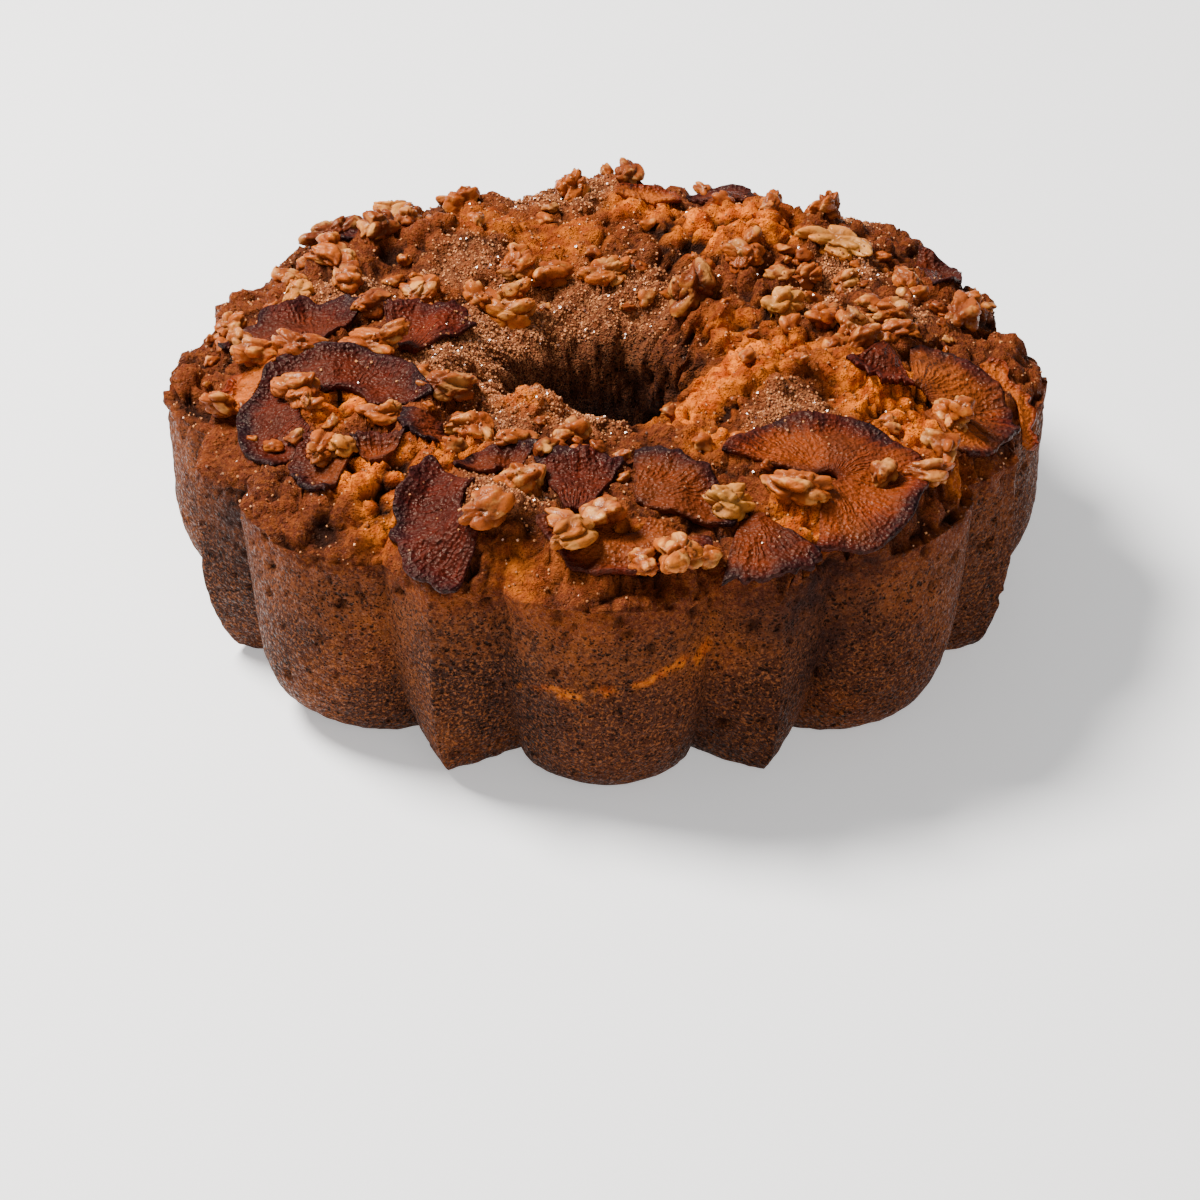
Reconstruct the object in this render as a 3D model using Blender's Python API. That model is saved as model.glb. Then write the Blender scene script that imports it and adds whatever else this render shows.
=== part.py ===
"""A fluted ring cake, baked with fruit slices and walnut pieces on its open, craggy top.

The fluted end is down and the rough baked top is up. The cake is one solid round a conical hole.
Eight round flutes alternate with eight pointed ones, and a round flute faces -Y. Thin curled fruit
slices lie on the crust first, and walnut pieces lie on the crust and on the slices.
Metres, +Z up, origin at the centre of the underside.
"""

import math

import bmesh
import bpy
from mathutils import Matrix, Vector, noise
from mathutils.bvhtree import BVHTree

# Driving dimensions of the cake
RIM_HEIGHT = 0.0655          # wall height, averaged round the cake
RIM_TILT = 0.0045            # the front wall stands this much above that, and the back wall this much below
LOBE_RADIUS = 0.129          # round flute, at the rim
RIDGE_RADIUS = 0.1275        # pointed flute, at the rim
VALLEY_RADIUS = 0.1195       # between two flutes, at the rim
LOBE_UNDERCUT = 0.016        # how much nearer the axis each is at the table
RIDGE_UNDERCUT = 0.0105
VALLEY_UNDERCUT = 0.0195
FLUTE_PAIRS = 8              # one round and one pointed flute in each
LOBE_HALF_ANGLE = 13.8       # degrees
CROWN_RISE = 0.011           # the top's crown above the rim
LIP_DROP = 0.0075            # from the crown down to the hole's lip
LIP_RADIUS = 0.036
RIM_MARGIN = 0.004           # a topping past this line inside the rim lies level with it
HOLE_TOP_RADIUS = 0.0255
HOLE_FOOT_RADIUS = 0.036
LUMP_DEPTH = 0.0050          # how craggy the crust is
GAP = 0.0003                 # air between two pieces that rest on each other

# Angles go round from the front (-Y) towards +X, in degrees; distances are from the axis.
# Mounds of batter that rose above the crown: angle, distance, spread, height
MOUNDS = (
    (-76, 0.057, 0.016, 0.0045),
    (-108, 0.050, 0.015, 0.0045),
    (-168, 0.046, 0.015, 0.0035),
    (62, 0.056, 0.017, 0.0055),
    (78, 0.072, 0.013, 0.0040),
    (-24, 0.047, 0.012, 0.0035),
    (-17, 0.104, 0.015, 0.0055),
    (158, 0.083, 0.017, 0.0050),
    (132, 0.110, 0.014, 0.0045),
    (-40, 0.100, 0.012, 0.0040),
    (52, 0.089, 0.010, -0.0030),
    (-150, 0.082, 0.018, 0.0040),
    (66, 0.042, 0.013, 0.0065),
    (-28, 0.041, 0.009, 0.0045),
)

# Fruit slices, as sectors of a flat ring seen from above. The core is where the ring's centre lies
# (x, y), then inner and outer radius, first and last angle anticlockwise from +X, and how far the
# outer edge curls up.
SLICES = {
    "back_left_wide": ((-0.085, -0.006), 0.004, 0.031, 62, 158, 0.0030),
    "back_left_small": ((-0.060, -0.013), 0.006, 0.034, 50, 102, 0.0025),
    "left_ring": ((-0.078, -0.040), 0.010, 0.028, 4, 236, 0.0035),
    "left_pale": ((-0.094, -0.026), 0.009, 0.020, 100, 188, 0.0015),
    "left_small": ((-0.071, -0.069), 0.003, 0.018, 130, 245, 0.0035),
    "charred_twist": ((-0.042, -0.051), 0.005, 0.017, 160, 250, 0.0050),
    "ragged": ((-0.064, -0.079), 0.006, 0.019, 68, 116, 0.0030),
    "front_left_large": ((-0.031, -0.096), 0.009, 0.0280, 128, 248, 0.0025),
    "front_left_small": ((-0.029, -0.075), 0.002, 0.0135, 40, 186, 0.0025),
    "front_dark": ((-0.008, -0.103), 0.008, 0.033, 66, 112, 0.0025),
    "front_fan": ((0.008, -0.094), 0.003, 0.027, -12, 90, 0.0025),
    "front_lip": ((0.006, -0.099), 0.006, 0.0250, 192, 342, 0.0045),
    "front_right_corner": ((0.039, -0.089), 0.006, 0.030, 256, 316, 0.0030),
    "right_large": ((0.062, -0.077), 0.003, 0.0285, -98, 166, 0.0030),
    "right_flap": ((0.083, -0.010), 0.004, 0.022, 230, 284, 0.0035),
    "right_half": ((0.088, -0.033), 0.006, 0.030, -60, 88, 0.0025),
    "right_edge": ((0.088, -0.030), 0.0325, 0.0365, -8, 48, 0.0020),
    "back_dark": ((0.034, 0.099), 0.003, 0.014, -10, 130, 0.0015),
    "back_pale": ((0.013, 0.100), 0.002, 0.0105, 5, 175, 0.0015),
    "back_right": ((0.094, 0.053), 0.003, 0.014, -72, 84, 0.0030),
    "back_left_edge": ((-0.066, 0.072), 0.003, 0.015, 58, 172, 0.0030),
}
SLICE_THICKNESS = 0.0026
SLICE_SPOKES = 7
SLICE_RINGS = 3

# Walnut pieces: angle, distance, length, width, height, turn of the long side, bend
WALNUTS = (
    (-70, 0.095, 0.0155, 0.013, 0.0085, 120, 0.25),
    (-86, 0.101, 0.015, 0.0095, 0.0075, 10, 0.10),
    (-84, 0.089, 0.0165, 0.011, 0.008, -20, 0.30),
    (-87, 0.070, 0.02, 0.012, 0.0085, 150, 0.20),
    (-101, 0.114, 0.013, 0.009, 0.0075, 75, 0.20),
    (-134, 0.116, 0.019, 0.013, 0.01, 40, 0.10),
    (-136, 0.101, 0.013, 0.011, 0.0095, 80, 0.25),
    (-147, 0.119, 0.015, 0.009, 0.0075, 20, 0.20),
    (-125, 0.100, 0.016, 0.011, 0.008, 140, 0.30),
    (-113, 0.101, 0.012, 0.0095, 0.008, 95, 0.15),
    (-124, 0.068, 0.0135, 0.0105, 0.009, 100, 0.30),
    (-107, 0.072, 0.014, 0.009, 0.0075, 40, 0.20),
    (-156, 0.112, 0.013, 0.0095, 0.0085, 15, 0.30),
    (-152, 0.058, 0.0145, 0.011, 0.0095, 60, 0.20),
    (180, 0.051, 0.016, 0.0095, 0.008, 20, 0.30),
    (-138, 0.043, 0.016, 0.0095, 0.008, 0, 0.35),
    (-174, 0.104, 0.013, 0.01, 0.009, 100, 0.30),
    (147, 0.046, 0.018, 0.012, 0.013, 75, 0.25),
    (139, 0.063, 0.014, 0.011, 0.009, 130, 0.20),
    (114, 0.058, 0.0135, 0.0105, 0.009, 20, 0.10),
    (126, 0.075, 0.0125, 0.0085, 0.008, 60, 0.25),
    (129, 0.091, 0.021, 0.013, 0.0085, 160, 0.30),
    (141, 0.107, 0.012, 0.008, 0.011, 70, 0.35),
    (113, 0.098, 0.0135, 0.0095, 0.008, 110, 0.20),
    (101, 0.086, 0.0145, 0.0105, 0.0085, 35, 0.25),
    (94, 0.073, 0.013, 0.0095, 0.0085, 100, 0.20),
    (103, 0.108, 0.0165, 0.011, 0.0085, 70, 0.20),
    (68, 0.107, 0.0155, 0.009, 0.007, 110, 0.30),
    (-54, 0.056, 0.016, 0.0095, 0.008, 10, 0.20),
    (-36, 0.064, 0.0145, 0.01, 0.0085, 150, 0.35),
    (-54, 0.078, 0.014, 0.009, 0.0075, 20, 0.25),
    (-51, 0.103, 0.015, 0.0095, 0.008, 75, 0.15),
    (-16, 0.085, 0.015, 0.011, 0.0085, 120, 0.20),
    (-6, 0.110, 0.0195, 0.012, 0.008, 95, 0.45),
    (20, 0.097, 0.0155, 0.011, 0.008, 15, 0.30),
    (33, 0.100, 0.02, 0.014, 0.009, -15, 0.15),
    (9, 0.1205, 0.017, 0.011, 0.009, 100, 0.25),
    (52, 0.1155, 0.015, 0.0095, 0.0075, 20, 0.30),
)

CAKE_COLOUR = (0.23, 0.085, 0.030)
SLICE_COLOUR = (0.16, 0.025, 0.012)
WALNUT_COLOUR = (0.43, 0.17, 0.060)


def finish(name, colour, roughness):
    """A Principled material."""
    material = bpy.data.materials.new(name)
    material.use_nodes = True
    shader = material.node_tree.nodes["Principled BSDF"]
    shader.inputs["Base Color"].default_value = (*colour, 1)
    shader.inputs["Roughness"].default_value = roughness
    shader.inputs["Metallic"].default_value = 0
    return material


def on_plan(angle, distance):
    """x and y of a place given by its angle from the front and its distance from the axis."""
    turn = math.radians(angle)
    return distance * math.sin(turn), -distance * math.cos(turn)


def rim_height(angle):
    """The wall's height, a little uneven as the batter rose."""
    turn = math.radians(angle)
    uneven = noise.noise(Vector((2.2 * math.sin(turn), 2.2 * math.cos(turn), 4.0)))
    return RIM_HEIGHT + RIM_TILT * math.cos(turn) + 0.0012 * math.sin(turn) + 0.003 * uneven


def wall_radius(angle, share):
    """Outer radius at an angle and at a share of the wall's height: flutes that fade towards the rim."""
    fall = 1 - share
    valley = VALLEY_RADIUS - VALLEY_UNDERCUT * fall**2.5
    pitch = 360 / FLUTE_PAIRS
    off_lobe = abs((angle + pitch / 2) % pitch - pitch / 2)
    if off_lobe <= LOBE_HALF_ANGLE:
        peak = LOBE_RADIUS - LOBE_UNDERCUT * fall**6
        bulge = (1 - (off_lobe / LOBE_HALF_ANGLE) ** 2) ** 0.75
    else:
        peak = RIDGE_RADIUS - RIDGE_UNDERCUT * fall**4
        bulge = 1 - (pitch / 2 - off_lobe) / (pitch / 2 - LOBE_HALF_ANGLE)
    return valley + (peak - valley) * bulge


def crust_height(angle, distance):
    """Height of the baked top: the crown, its mounds and its crags."""
    outer = wall_radius(angle, 1)
    inwards = (outer - distance) / (outer - LIP_RADIUS)
    if inwards < 0.5:
        crown = CROWN_RISE * (1 - (1 - max(inwards, 0) / 0.5) ** 2)
    else:
        crown = CROWN_RISE - LIP_DROP * ((inwards - 0.5) / 0.5) ** 2
    x, y = on_plan(angle, distance)
    lumps = noise.noise(Vector((x, y, 0.1)) * 55) + 0.6 * noise.noise(Vector((x, y, 0.3)) * 120)
    height = rim_height(angle) + crown + LUMP_DEPTH * lumps * min(1, max(inwards, 0) / 0.08)
    for mound_angle, mound_distance, spread, rise in MOUNDS:
        mx, my = on_plan(mound_angle, mound_distance)
        apart = math.hypot(x - mx, y - my) / spread
        height += rise * math.exp(-apart * apart)
    return height


def flute_angles():
    """Angles of the cake's columns: six across each round flute and six across each pointed one."""
    pitch = 360 / FLUTE_PAIRS
    ridge = pitch - 2 * LOBE_HALF_ANGLE
    steps = [-LOBE_HALF_ANGLE + LOBE_HALF_ANGLE * i / 3 for i in range(6)]
    steps += [LOBE_HALF_ANGLE + ridge * i / 6 for i in range(6)]
    return [pitch * pair + step for pair in range(FLUTE_PAIRS) for step in steps]


def cake_column(angle):
    """One upright section of the cake at an angle, from inside the foot, out, over the top and down the hole."""
    rim = rim_height(angle)
    foot = wall_radius(angle, 0)
    points = [(0.052, 0.0), (0.88 * foot, 0.0), (0.975 * foot, 0.0012)]
    for share in (0.045, 0.12, 0.26, 0.50, 0.76, 0.94):
        points.append((wall_radius(angle, share), rim * share))
    edge = wall_radius(angle, 1)
    points.append((edge - 0.0015, rim))
    for inwards in (0.07, 0.17, 0.29, 0.42, 0.56, 0.70, 0.85):
        distance = edge + (LIP_RADIUS - edge) * inwards
        points.append((distance, crust_height(angle, distance)))
    lip = crust_height(angle, LIP_RADIUS)
    points += [(LIP_RADIUS, lip), (HOLE_TOP_RADIUS + 0.003, lip - 0.006), (HOLE_TOP_RADIUS, lip - 0.018)]
    points += [(0.0295, 0.026), (HOLE_FOOT_RADIUS, 0.003)]
    return points


def build_cake(material):
    """The loft of all the columns, closed round the cake and through the hole."""
    bm = bmesh.new()
    columns = []
    for angle in flute_angles():
        column = []
        for distance, height in cake_column(angle):
            x, y = on_plan(angle, distance)
            column.append(bm.verts.new((x, y, height)))
        columns.append(column)
    rows = len(columns[0])
    for i, column in enumerate(columns):
        following = columns[(i + 1) % len(columns)]
        for j in range(rows):
            k = (j + 1) % rows
            bm.faces.new((column[j], following[j], following[k], column[k]))
    bmesh.ops.recalc_face_normals(bm, faces=bm.faces)
    bmesh.ops.triangulate(bm, faces=bm.faces)
    return add_piece("cake", bm, material)


def add_piece(name, bm, material):
    """Turns a bmesh into a smooth-shaded object of the cake's collection."""
    mesh = bpy.data.meshes.new(name)
    bm.to_mesh(mesh)
    bm.free()
    mesh.materials.append(material)
    mesh.shade_smooth()
    piece = bpy.data.objects.new(name, mesh)
    collection.objects.link(piece)
    return piece


def tree_of(bm):
    bm.normal_update()
    return BVHTree.FromBMesh(bm)


class Support:
    """What lies below a new piece: the crust and all the pieces put down before it."""

    def __init__(self):
        self.trees = []

    def add(self, bm):
        self.trees.append(tree_of(bm))

    def height(self, x, y):
        """The highest surface under a point of the plan; past the rim, the rim's own height."""
        edge = wall_radius(math.degrees(math.atan2(x, -y)), 1) - RIM_MARGIN
        inside = min(1, edge / max(math.hypot(x, y), edge / 2))
        x, y = x * inside, y * inside
        found = [tree.ray_cast(Vector((x, y, 0.3)), Vector((0, 0, -1)))[0] for tree in self.trees]
        return max((hit.z for hit in found if hit), default=0)

    def height_around(self, x, y, reach):
        """The highest surface within a short reach, so that no crag pokes through a piece."""
        ring = [(0, 0)] + [(math.cos(a), math.sin(a)) for a in (math.tau * i / 6 for i in range(6))]
        return max(self.height(x + reach * dx, y + reach * dy) for dx, dy in ring)

    def raise_clear(self, bm, moved_with, give):
        """Lifts what touches something in small steps, until nothing does, then the whole by the gap.

        moved_with gives the corners that rise when one of them touches. After as many steps as the
        piece gives way, the whole rises.
        """
        for step in range(80):
            tree = tree_of(bm)
            touching = {pair[0] for other in self.trees for pair in tree.overlap(other)}
            if not touching:
                break
            bm.faces.ensure_lookup_table()
            touched = {vert for index in touching for vert in bm.faces[index].verts}
            rising = {corner for vert in touched for corner in moved_with(vert)}
            bmesh.ops.translate(bm, verts=list(rising) if step < give else bm.verts, vec=(0, 0, GAP))
        bmesh.ops.translate(bm, verts=bm.verts, vec=(0, 0, GAP))


def build_slice(name, core, inner, outer, first, last, curl, support, material):
    """A thin sheet in the shape of a ring's sector, draped on what is below, its outer edge curled up."""
    bm = bmesh.new()
    grid = []
    for i in range(SLICE_SPOKES + 1):
        share = i / SLICE_SPOKES
        turn = math.radians(first + (last - first) * share)
        ragged = 1 + 0.10 * noise.noise(Vector((core[0], core[1], 0.02 * i)) * 90)
        spoke = []
        for j in range(SLICE_RINGS + 1):
            out = j / SLICE_RINGS
            distance = inner + (outer * ragged - inner) * out
            x = core[0] + distance * math.cos(turn)
            y = core[1] + distance * math.sin(turn)
            ripple = 0.0012 * math.sin(3 * math.tau * share + 40 * core[0])
            lift = curl * out**3 + ripple * out
            spoke.append((x, y, support.height_around(x, y, 0.0025) + GAP + max(lift, 0)))
        grid.append(spoke)
    lower = [[bm.verts.new(point) for point in spoke] for spoke in grid]
    upper = [[bm.verts.new((x, y, z + SLICE_THICKNESS)) for x, y, z in spoke] for spoke in grid]
    for i in range(SLICE_SPOKES):
        for j in range(SLICE_RINGS):
            corners = ((i, j), (i + 1, j), (i + 1, j + 1), (i, j + 1))
            bm.faces.new([lower[a][b] for a, b in corners])
            bm.faces.new([upper[a][b] for a, b in reversed(corners)])
    around = [(i, 0) for i in range(SLICE_SPOKES)]
    around += [(SLICE_SPOKES, j) for j in range(SLICE_RINGS)]
    around += [(i, SLICE_RINGS) for i in range(SLICE_SPOKES, 0, -1)]
    around += [(0, j) for j in range(SLICE_RINGS, 0, -1)]
    for (a, b), (c, d) in zip(around, around[1:] + around[:1]):
        bm.faces.new((lower[a][b], lower[c][d], upper[c][d], upper[a][b]))
    bmesh.ops.recalc_face_normals(bm, faces=bm.faces)
    bmesh.ops.triangulate(bm, faces=bm.faces)
    below_and_above = {}
    for low, high in zip(sum(lower, []), sum(upper, [])):
        below_and_above[low] = below_and_above[high] = (low, high)
    support.raise_clear(bm, below_and_above.get, 80)
    support.add(bm)
    return add_piece(name, bm, material)


def build_walnut(name, place, length, width, height, turn, bend, support, material):
    """A lobed, bent lump whose underside follows what it lies on."""
    bm = bmesh.new()
    bmesh.ops.create_icosphere(bm, subdivisions=2, radius=0.5)
    shift = Vector((place[0], place[1], 0)) * 300
    for vert in bm.verts:
        lobes = 1 + 0.30 * noise.noise(vert.co * 2.6 + shift) + 0.10 * noise.noise(vert.co * 6 + shift)
        vert.co *= lobes
        vert.co.y += bend * (4 * vert.co.x**2 - 0.4)
        vert.co = Vector((vert.co.x * length, vert.co.y * width, vert.co.z * height))
    spin = Matrix.Rotation(math.radians(turn), 3, "Z")
    seat = support.height(*place) + 0.32 * height
    for vert in bm.verts:
        vert.co = spin @ vert.co + Vector((place[0], place[1], seat))
    for vert in bm.verts:
        if vert.co.z < seat:
            floor = support.height_around(vert.co.x, vert.co.y, 0.0015) + GAP
            vert.co.z = min(max(vert.co.z, floor), seat)
    bmesh.ops.dissolve_degenerate(bm, edges=bm.edges, dist=0.0004)
    bmesh.ops.triangulate(bm, faces=bm.faces)
    support.raise_clear(bm, lambda vert: (vert,), 9)
    support.add(bm)
    return add_piece(name, bm, material)


for leftover in list(bpy.data.objects):
    bpy.data.objects.remove(leftover, do_unlink=True)
collection = bpy.data.collections.new("fluted_ring_cake")
bpy.context.scene.collection.children.link(collection)

crust_finish = finish("baked_crust", CAKE_COLOUR, 0.75)
fruit_finish = finish("baked_fruit", SLICE_COLOUR, 0.45)
nut_finish = finish("walnut", WALNUT_COLOUR, 0.6)

cake = build_cake(crust_finish)
below = Support()
cake_copy = bmesh.new()
cake_copy.from_mesh(cake.data)
below.add(cake_copy)
cake_copy.free()
for slice_name, form in SLICES.items():
    build_slice("fruit_" + slice_name, *form, below, fruit_finish)
for number, (angle, distance, *form) in enumerate(WALNUTS, 1):
    build_walnut(f"walnut_{number:02d}", on_plan(angle, distance), *form, below, nut_finish)
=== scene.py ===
"""Looks of the fluted ring cake: fine crust, fruit slices, walnut pieces, crumbs and sugar."""

import math
import random

import bmesh
import bpy
import numpy as np
from mathutils import Matrix, Vector, noise
from mathutils.bvhtree import BVHTree


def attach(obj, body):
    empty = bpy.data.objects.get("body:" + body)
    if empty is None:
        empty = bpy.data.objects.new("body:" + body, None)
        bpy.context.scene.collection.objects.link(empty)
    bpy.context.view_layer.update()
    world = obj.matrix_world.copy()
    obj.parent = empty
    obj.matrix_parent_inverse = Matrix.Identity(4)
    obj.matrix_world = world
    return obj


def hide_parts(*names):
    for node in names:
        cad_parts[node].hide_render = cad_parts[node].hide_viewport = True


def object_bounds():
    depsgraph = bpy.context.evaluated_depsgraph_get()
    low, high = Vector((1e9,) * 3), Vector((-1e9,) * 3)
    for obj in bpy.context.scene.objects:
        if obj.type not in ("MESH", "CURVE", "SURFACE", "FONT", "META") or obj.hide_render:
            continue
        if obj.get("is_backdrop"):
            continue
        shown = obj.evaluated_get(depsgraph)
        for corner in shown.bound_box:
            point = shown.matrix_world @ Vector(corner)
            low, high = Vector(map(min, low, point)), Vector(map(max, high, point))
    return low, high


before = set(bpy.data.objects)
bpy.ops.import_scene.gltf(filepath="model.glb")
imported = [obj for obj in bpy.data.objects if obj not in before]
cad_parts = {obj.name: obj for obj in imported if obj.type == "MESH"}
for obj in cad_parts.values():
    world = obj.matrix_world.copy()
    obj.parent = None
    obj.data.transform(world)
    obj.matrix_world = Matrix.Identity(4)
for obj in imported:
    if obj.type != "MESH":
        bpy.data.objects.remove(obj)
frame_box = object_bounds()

# The cake's named sizes, in metres, as in the CAD part
RIM_HEIGHT = 0.0655
RIM_TILT = 0.0045
LOBE_RADIUS, RIDGE_RADIUS, VALLEY_RADIUS = 0.129, 0.1275, 0.1195
LOBE_UNDERCUT, RIDGE_UNDERCUT, VALLEY_UNDERCUT = 0.016, 0.0105, 0.0195
FLUTE_PAIRS = 8
LOBE_HALF_ANGLE = 13.8
CROWN_RISE, LIP_DROP, LIP_RADIUS = 0.011, 0.0075, 0.036
HOLE_TOP_RADIUS, HOLE_FOOT_RADIUS = 0.0255, 0.036
LUMP_DEPTH = 0.0050
SLICE_THICKNESS = 0.0024

LOBE_COLUMNS, RIDGE_COLUMNS = 48, 32   # columns of the crust's mesh across each flute
WALL_ROWS, TOP_ROWS, HOLE_ROWS = 42, 84, 19
SLICE_SPOKES, SLICE_RINGS = 64, 22

# Angles go round from the front (-Y) towards +X, in degrees; distances are from the axis.
MOUNDS = (
    (-76, 0.057, 0.016, 0.0045),
    (-108, 0.050, 0.015, 0.0045),
    (-168, 0.046, 0.015, 0.0035),
    (62, 0.056, 0.017, 0.0055),
    (78, 0.072, 0.013, 0.0040),
    (-24, 0.047, 0.012, 0.0035),
    (-17, 0.104, 0.015, 0.0055),
    (158, 0.083, 0.017, 0.0050),
    (132, 0.110, 0.014, 0.0045),
    (-40, 0.100, 0.012, 0.0040),
    (52, 0.089, 0.010, -0.0030),
    (-150, 0.082, 0.018, 0.0040),
    (66, 0.042, 0.013, 0.0065),
    (-28, 0.041, 0.009, 0.0045),
)

# Patches of the top, as x, y and spread in centimetres and a strength
GOLD = (
    (3.6, 7.7, 1.6, 1.0), (4.8, 6.7, 1.2, 0.9), (1.1, 9.6, 1.1, 0.9), (3.4, -1.6, 1.9, 1.0),
    (4.6, -0.6, 1.4, 0.9), (2.6, -3.2, 1.2, 0.9), (7.9, -3.3, 1.3, 1.0), (8.5, -4.8, 1.0, 0.9),
    (7.1, -2.5, 1.0, 0.6), (-6.5, -7.3, 1.2, 1.0), (-5.7, -8.8, 1.2, 1.0), (-7.7, -3.5, 1.0, 1.0),
    (-1.9, -3.4, 1.0, 1.0), (-2.6, -3.0, 0.9, 0.9), (-4.3, -6.4, 1.0, 0.9), (0.9, -10.9, 1.0, 0.35),
    (-0.2, -10.7, 1.2, 0.40), (5.0, -9.7, 1.0, 0.9), (3.4, -5.8, 1.0, 0.8), (-1.4, 7.2, 1.4, 0.5),
    (-3.9, 8.2, 1.3, 0.5), (-2.4, -11.6, 0.8, 0.4), (5.9, -0.6, 1.2, 0.6), (-5.6, 3.4, 1.0, 0.4),
    (10.0, -6.5, 0.8, 0.5), (3.6, 1.6, 1.2, 0.5),
)
SUGAR = (
    (-3.6, 1.2, 1.8, 1.0), (-4.8, -0.8, 1.3, 0.9), (-2.4, 3.3, 1.5, 0.9), (0.1, 4.4, 1.8, 0.6),
    (1.8, 4.6, 1.2, 0.5), (-1.4, 10.8, 1.5, 0.9), (7.1, 4.6, 1.0, 1.0), (6.2, 2.8, 0.8, 0.7),
    (-7.7, 4.0, 1.2, 0.8), (-3.0, -8.9, 1.2, 0.8), (5.2, -4.7, 1.1, 0.9), (-3.3, -2.4, 1.2, 0.8),
    (-0.9, -3.8, 1.2, 0.8), (7.4, 9.6, 1.2, 0.7), (-6.2, 3.3, 1.0, 0.5), (8.9, 1.8, 0.7, 0.6),
    (-4.1, 5.3, 1.2, 0.5), (-3.2, -4.6, 1.0, 0.6),
)
SMOOTH = (
    (-9.9, -1.5, 1.2, 0.8), (-10.8, -4.1, 1.3, 0.8), (-7.6, -10.4, 1.1, 0.8), (-7.7, 4.0, 1.4, 0.6),
    (-3.0, -8.9, 1.3, 0.7), (-3.7, 1.4, 1.9, 0.8), (0.1, 4.3, 1.9, 0.7), (-1.4, 7.2, 1.5, 0.6),
    (7.4, 9.8, 1.2, 0.6), (7.0, 4.2, 1.2, 0.6), (-4.4, 4.8, 1.3, 0.5), (-2.4, -11.6, 0.9, 0.6),
)
CRAGS = (
    (-12.1, -0.5, 1.3, 1.0), (-11.9, -2.5, 1.0, 0.8), (-8.9, -8.3, 1.3, 1.0), (-7.8, -9.6, 1.1, 0.9),
    (3.4, -1.4, 2.0, 0.9), (3.4, 1.8, 1.5, 0.9), (2.4, -3.4, 1.2, 0.7), (3.8, 7.4, 1.7, 1.0),
    (10.8, -5.7, 1.1, 0.9), (7.9, -3.3, 1.4, 0.9), (-6.0, -8.2, 1.5, 0.8), (4.6, 3.2, 1.2, 0.8),
    (5.4, -10.7, 1.0, 0.7), (11.4, -7.1, 1.0, 0.9), (10.1, 4.5, 1.2, 0.6), (-2.0, -3.2, 1.0, 0.8),
)

# Fruit slices: sectors of a ring as in the part, then how orange, how charred and how golden at
# the heart each one is.
SLICES = {
    "back_left_wide": ((-0.085, -0.006), 0.004, 0.031, 62, 158, 0.0030, 0.12, 0.55, 0.08),
    "back_left_small": ((-0.060, -0.013), 0.006, 0.034, 50, 102, 0.0025, 0.28, 0.45, 0.05),
    "left_ring": ((-0.078, -0.040), 0.010, 0.028, 4, 236, 0.0035, 0.10, 0.75, 0.05),
    "left_pale": ((-0.094, -0.026), 0.009, 0.020, 100, 188, 0.0015, 0.95, 0.15, 0.95),
    "left_small": ((-0.071, -0.069), 0.003, 0.018, 130, 245, 0.0035, 0.30, 0.55, 0.25),
    "charred_twist": ((-0.042, -0.051), 0.005, 0.017, 160, 250, 0.0050, 0.10, 0.95, 0.10),
    "ragged": ((-0.064, -0.079), 0.006, 0.019, 68, 116, 0.0030, 0.30, 0.55, 0.20),
    "front_left_large": ((-0.031, -0.096), 0.009, 0.0280, 128, 248, 0.0025, 0.10, 0.55, 0.02),
    "front_left_small": ((-0.029, -0.075), 0.002, 0.0135, 40, 186, 0.0025, 0.20, 0.55, 0.10),
    "front_dark": ((-0.008, -0.103), 0.008, 0.033, 66, 112, 0.0025, 0.15, 0.55, 0.05),
    "front_fan": ((0.008, -0.094), 0.003, 0.027, -12, 90, 0.0025, 0.12, 0.65, 0.20),
    "front_lip": ((0.006, -0.099), 0.006, 0.0250, 192, 342, 0.0045, 0.35, 0.45, 0.45),
    "front_right_corner": ((0.039, -0.089), 0.006, 0.030, 256, 316, 0.0030, 0.25, 0.75, 0.15),
    "right_large": ((0.062, -0.077), 0.003, 0.0285, -98, 166, 0.0030, 0.46, 0.60, 0.30),
    "right_flap": ((0.083, -0.010), 0.004, 0.022, 230, 284, 0.0035, 0.35, 0.25, 0.05),
    "right_half": ((0.088, -0.033), 0.006, 0.030, -60, 88, 0.0025, 0.22, 0.60, 0.50),
    "right_edge": ((0.088, -0.030), 0.0325, 0.0365, -8, 48, 0.0020, 0.90, 0.15, 0.90),
    "back_dark": ((0.034, 0.099), 0.003, 0.014, -10, 130, 0.0015, 0.20, 0.60, 0.10),
    "back_pale": ((0.013, 0.100), 0.002, 0.0105, 5, 175, 0.0015, 0.95, 0.25, 0.95),
    "back_right": ((0.094, 0.053), 0.003, 0.014, -72, 84, 0.0030, 0.15, 0.55, 0.10),
    "back_left_edge": ((-0.066, 0.072), 0.003, 0.015, 58, 172, 0.0030, 0.10, 0.80, 0.10),
}

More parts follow.
